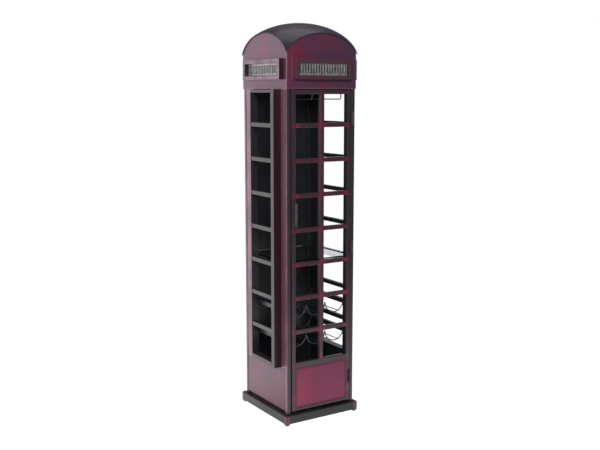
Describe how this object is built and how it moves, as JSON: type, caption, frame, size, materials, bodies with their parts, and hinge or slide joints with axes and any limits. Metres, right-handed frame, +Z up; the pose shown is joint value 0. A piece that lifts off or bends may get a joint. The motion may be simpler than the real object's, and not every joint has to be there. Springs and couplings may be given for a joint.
{
  "type": "booth-shaped bar cabinet",
  "caption": "Tall square metal cabinet shaped like a domed street booth, with a hinged glazing-bar door, side window boxes, bottle racks, a glass shelf and stemware wires.",
  "frame": {"origin": "centre of the body's footprint, on the plane the feet stand on", "axes": "+Z up, -Y out of the door, +X towards the hinge side"},
  "size_m": [0.43, 0.42, 1.799],
  "materials": {
    "red_lacquer": "satin metallic burgundy lacquer, antiqued with darker patches and bright edges",
    "frame_lacquer": "satin metallic burgundy lacquer rubbed back to near black, redder at the joints",
    "roof_lacquer": "satin metallic lacquer, deep plum black",
    "slate_lacquer": "satin slate grey lacquer",
    "black_paint": "satin black paint",
    "black_wire": "semi-gloss black paint on wire",
    "silver_paint": "brushed silver paint",
    "dark_steel": "blackened steel",
    "pin_steel": "bright steel",
    "handle_metal": "worn satin steel",
    "catch_plastic": "black moulded plastic",
    "pad_rubber": "soft black bumper",
    "shelf_glass": "clear float glass with polished edges"
  },
  "bodies": {
    "cabinet": {"plinth_front_rail": "slate_lacquer", "plinth_rear_rail": "slate_lacquer", "plinth_left_rail": "slate_lacquer", "plinth_right_rail": "slate_lacquer", "corner_feet": "red_lacquer", "plinth_deck": "slate_lacquer", "post_front_left": "frame_lacquer", "post_front_right": "frame_lacquer", "post_rear_left": "frame_lacquer", "post_rear_right": "frame_lacquer", "sill_rail_front": "black_paint", "head_rail_front": "black_paint", "ceiling_panel": "black_paint", "back_panel": "black_paint", "lower_panel_left": "red_lacquer", "lower_panel_right": "red_lacquer", "front_strip_left": "red_lacquer", "front_strip_right": "red_lacquer", "rear_strip_left": "red_lacquer", "rear_strip_right": "red_lacquer", "window_front_stile_left": "red_lacquer", "window_front_stile_right": "red_lacquer", "window_rear_stile_left": "red_lacquer", "window_rear_stile_right": "red_lacquer", "window_bars_left": "red_lacquer", "window_bars_right": "red_lacquer", "header_front": "red_lacquer", "header_rear": "red_lacquer", "header_left": "red_lacquer", "header_right": "red_lacquer", "sign_frame_front": "red_lacquer", "sign_frame_left": "red_lacquer", "sign_frame_right": "red_lacquer", "sign_plate_front": "silver_paint", "sign_plate_left": "silver_paint", "sign_plate_right": "silver_paint", "roof_dome": "roof_lacquer", "stemware_wires": "black_wire", "rack_bars_left": "black_paint", "rack_bars_right": "black_paint", "bottle_rack_lower": "black_wire", "bottle_rack_upper": "black_wire", "shelf_pads": "pad_rubber", "hinge_lower_barrels": "dark_steel", "hinge_pins": "pin_steel", "magnetic_catch": "catch_plastic"},
    "door": {"door_left_stile": "frame_lacquer", "door_right_stile": "frame_lacquer", "door_top_rail": "frame_lacquer", "door_mid_rail": "frame_lacquer", "door_bottom_rail": "frame_lacquer", "door_centre_bar": "frame_lacquer", "door_cross_bars": "frame_lacquer", "door_panel": "red_lacquer", "door_handle": "handle_metal", "hinge_upper_barrels": "dark_steel", "strike_plate": "pin_steel"},
    "shelf": {"glass_shelf": "shelf_glass"}
  },
  "joints": [
    {"name": "door_hinge", "type": "hinge", "parent": "cabinet", "child": "door", "pos_m": [0.1615, -0.1952, 0.77], "axis": [0, 0, 1], "range_deg": [0, 170]},
    {"name": "shelf_lift", "type": "slide", "parent": "cabinet", "child": "shelf", "axis": [0, 0, 1], "range_m": [0, 0.03]}
  ]
}
